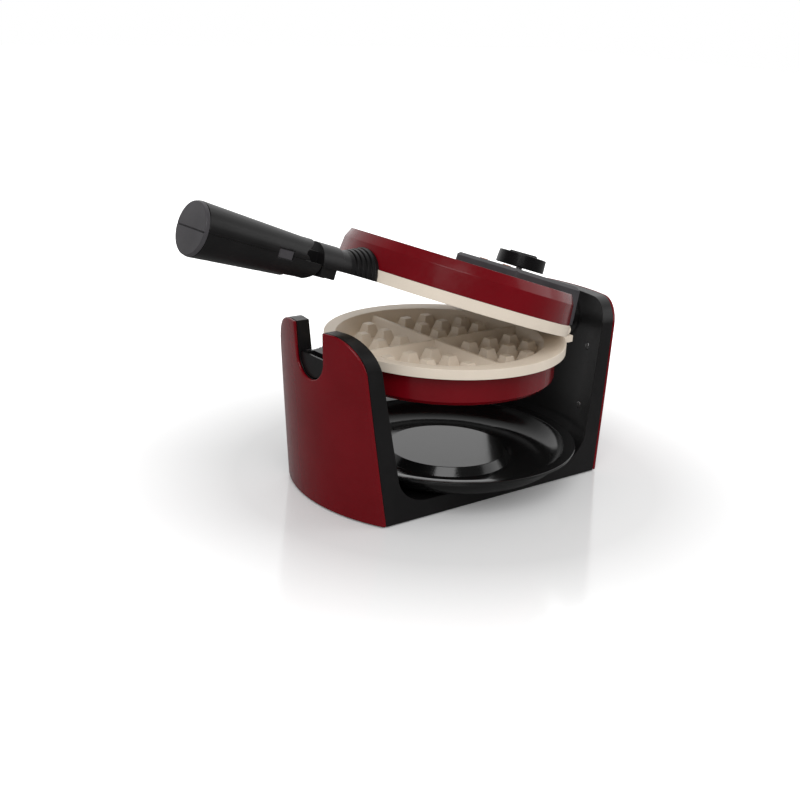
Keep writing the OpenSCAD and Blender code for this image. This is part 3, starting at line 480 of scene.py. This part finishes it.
def screw_tree(material):
    tree = Growth("screws", sides=32, head_r=3 * MM, head_h=1.3 * MM, round_h=0.4 * MM,
                  shank_r=1.2 * MM)
    sides, points = tree.value("sides"), tree.value("Geometry")
    head = screw_head(tree, sides)
    shank = tree.shift(tree.cylinder(sides, tree.value("shank_r"), 1.0), 0.5)
    turn = tree.add("FunctionNodeAlignRotationToVector", {"axis": "Z"},
                    {"Vector": tree.named("axis", "FLOAT_VECTOR")})
    heads = tree.add("GeometryNodeInstanceOnPoints", {},
                     {"Points": points, "Instance": head, "Rotation": turn})
    raised = tree.add("GeometryNodeSetPosition", {},
                      {"Geometry": points, "Offset": tree.named("start", "FLOAT_VECTOR")})
    shanks = tree.add("GeometryNodeInstanceOnPoints", {},
                      {"Points": raised, "Instance": shank, "Rotation": turn,
                       "Scale": tree.vector(1.0, 1.0, tree.named("length", "FLOAT"))})
    tree.close(tree.join(heads, shanks), material)
    return tree


SCREWS = screw_tree(FINISHES["steel"])
print("screw tree:", len(SCREWS.tree.nodes), "nodes")

# %% [markdown]
# A node of the frame holds several screws as separate solids. They are told
# apart by following shared corners, always in the order of their numbers, so
# that each run gives the same result. The longest direction of each solid is
# its axis, and the end with the wide corners is its head. Places typed by hand
# would no longer fit once the frame changes.

# %% Measure the screws
SAME_CORNER = 0.001 * MM
WIDER_THAN_SHANK = 2.2 * MM


def islands(node):
    """The corner points of each separate solid in a CAD node."""
    shape = bmesh.new()
    shape.from_mesh(frame["nodes"][node].data)
    bmesh.ops.remove_doubles(shape, verts=shape.verts, dist=SAME_CORNER)
    shape.verts.index_update()
    shape.verts.ensure_lookup_table()
    left, found = set(range(len(shape.verts))), []
    while left:
        group, edge = [], [min(left)]
        left.remove(edge[0])
        while edge:
            group.append(edge.pop())
            corner = shape.verts[group[-1]]
            near = {link.other_vert(corner).index for link in corner.link_edges} & left
            left -= near
            edge.extend(near)
        found.append(numpy.array([shape.verts[index].co[:] for index in sorted(group)]))
    shape.free()
    return found


def measure_screw(points):
    """Middle of the head's end face, direction and length of one screw."""
    middle = (points.max(axis=0) + points.min(axis=0)) / 2
    axis = numpy.linalg.svd(points - points.mean(axis=0))[2][0]
    along = (points - middle) @ axis
    across = points - middle - numpy.outer(along, axis)
    wide = numpy.linalg.norm(across - across.mean(axis=0), axis=1) > WIDER_THAN_SHANK
    if along[wide].mean() > along.mean():
        axis, along = -axis, -along
    head = middle + across.mean(axis=0) + along.min() * axis
    return head, axis, along.max() - along.min()


print("panel screws found:", len(islands("panel_screws")))

# %% [markdown]
# Each measured screw becomes one point with its direction and length. The tree
# grows on those points, and its result is kept as a plain mesh that stands for
# the node.

# %% Place the screws
SHANK_STARTS = 1.1 * MM  # below the end face, so the shank begins inside the head
SCREW_NODES = ("panel_screws", "cover_screws", "lower_screws", "lid_screws", "grip_screws")


def grow_screws(node):
    measured = [measure_screw(points) for points in islands(node)]
    data = bpy.data.meshes.new(node + "_points")
    data.from_pydata([tuple(head) for head, axis, length in measured], [], [])
    for label, kind in (("axis", "FLOAT_VECTOR"), ("start", "FLOAT_VECTOR"), ("length", "FLOAT")):
        data.attributes.new(label, kind, "POINT")
    for index, (head, axis, length) in enumerate(measured):
        data.attributes["axis"].data[index].vector = axis
        data.attributes["start"].data[index].vector = axis * SHANK_STARTS
        data.attributes["length"].data[index].value = length - SHANK_STARTS
    seed = bpy.data.objects.new(node + "_seed", data)
    bpy.context.scene.collection.objects.link(seed)
    seed.modifiers.new("growth", "NODES").node_group = SCREWS.tree
    evaluated = seed.evaluated_get(bpy.context.evaluated_depsgraph_get())
    grown = bpy.data.meshes.new_from_object(evaluated)
    bpy.data.objects.remove(seed)
    piece = bpy.data.objects.new(node + "_grown", grown)
    bpy.context.scene.collection.objects.link(piece)
    return piece


for node in SCREW_NODES:
    piece = grow_screws(node)
    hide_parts(node)
    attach(piece, BODY_OF[node])
    print(piece.name, len(piece.data.polygons), "faces")

# %% [markdown]
# The studio is a white table with a white wall behind the maker and a dark room
# behind the camera. Faces turned to the camera mirror the dark room, which
# keeps the reds deep and the blacks black; tops and the floor mirror the wall.
# The wall is not built: the world's brightness depends on the direction.

# %% World
WORLD_LIGHT = 0.62
WORLD_SEEN = 1.0
ROOM_MIRRORED = 0.1
WALL_MIRRORED = 1.0
WALL_FULL = 0.7  # how far ahead a direction points once it meets the full wall


def make_world():
    world = bpy.data.worlds.new("room")
    world.use_nodes = True
    room = Tree(world.node_tree)
    room.tree.nodes.clear()
    seen = room.add("ShaderNodeLightPath", output="Is Camera Ray")
    mirrored = room.add("ShaderNodeLightPath", output="Is Glossy Ray")
    ahead = (-math.sin(CAMERA_AZIMUTH), math.cos(CAMERA_AZIMUTH), 0)
    direction = room.add("ShaderNodeTexCoord", output="Generated")
    behind = room.add("ShaderNodeVectorMath", {"operation": "DOT_PRODUCT"},
                      {0: direction, 1: ahead}, output="Value")
    wall = room.add("ShaderNodeMapRange", {},
                    {"Value": behind, "From Min": 0.0, "From Max": WALL_FULL,
                     "To Min": ROOM_MIRRORED, "To Max": WALL_MIRRORED})
    strength = (seen * (WORLD_SEEN - WORLD_LIGHT) + mirrored * (wall - WORLD_LIGHT)
                + WORLD_LIGHT)
    light = room.add("ShaderNodeBackground", {}, {"Color": (1, 1, 1), "Strength": strength})
    room.plug(room.tree.nodes.new("ShaderNodeOutputWorld").inputs["Surface"], light)
    bpy.context.scene.world = world


make_world()
print("world:", bpy.context.scene.world.name)

# %% [markdown]
# A large soft lamp stands on the left and a weaker one on the right. They are
# wide so that their shadows have no hard edge, as in the photograph.

# %% Lamps
LAMP_TARGET = Vector((0, 0, 0.1))
LAMPS = {  # place in metres, width in metres, power in watts
    "key": ((-0.9, -1.1, 1.5), 1.1, 14),
    "fill": ((1.4, -0.9, 0.9), 1.0, 4),
}


def soft_lamp(name, place, size, power):
    data = bpy.data.lights.new(name, "AREA")
    data.shape = "SQUARE"
    data.size = size
    data.energy = power
    lamp = bpy.data.objects.new(name, data)
    lamp.location = place
    lamp.rotation_euler = (LAMP_TARGET - Vector(place)).to_track_quat("-Z", "Y").to_euler()
    bpy.context.scene.collection.objects.link(lamp)
    return lamp


for name, (place, size, power) in LAMPS.items():
    print("lamp:", soft_lamp(name, place, size, power).name, power, "W")

# %% [markdown]
# The floor fades to pure white away from the maker, so only its soft shadow
# stays. A glow that grows with the distance does this, seen by the camera
# alone. In mirrors the floor is grey, which keeps the sides of the towers dark.

# %% Floor
FLOOR_REACH = 6
FLOOR_GLOW_NEAR, FLOOR_GLOW_FAR = 0.1, 0.9
GLOW_STARTS, GLOW_ENDS = 0.2, 0.55  # distances from the middle, in metres


def make_floor():
    data = bpy.data.meshes.new("floor")
    corners = [(x * FLOOR_REACH, y * FLOOR_REACH, 0)
               for x, y in ((-1, -1), (1, -1), (1, 1), (-1, 1))]
    data.from_pydata(corners, [], [(0, 1, 2, 3)])
    floor = bpy.data.objects.new("floor", data)
    bpy.context.scene.collection.objects.link(floor)
    finish = Finish("floor", Roughness=0.12, Specular_IOR_Level=0.6)
    cloud = finish.blend(finish.noise(0.4), (0.8, 0.8, 0.8), (0.82, 0.82, 0.82))
    mirrored = finish.add("ShaderNodeLightPath", output="Is Glossy Ray")
    finish.set(Base_Color=finish.blend(mirrored, cloud, (0.25, 0.25, 0.25)))
    distance = finish.add("ShaderNodeVectorMath", {"operation": "LENGTH"},
                          {0: finish.place()}, output="Value")
    glow = finish.spread(distance, FLOOR_GLOW_NEAR, FLOOR_GLOW_FAR, GLOW_STARTS, GLOW_ENDS)
    seen = finish.add("ShaderNodeLightPath", output="Is Camera Ray")
    finish.set(Emission_Strength=1.0, Emission_Color=seen * glow)
    wear(floor, finish.material)
    return floor


print("floor:", make_floor().name)
bpy.context.scene.view_settings.view_transform = "Standard"
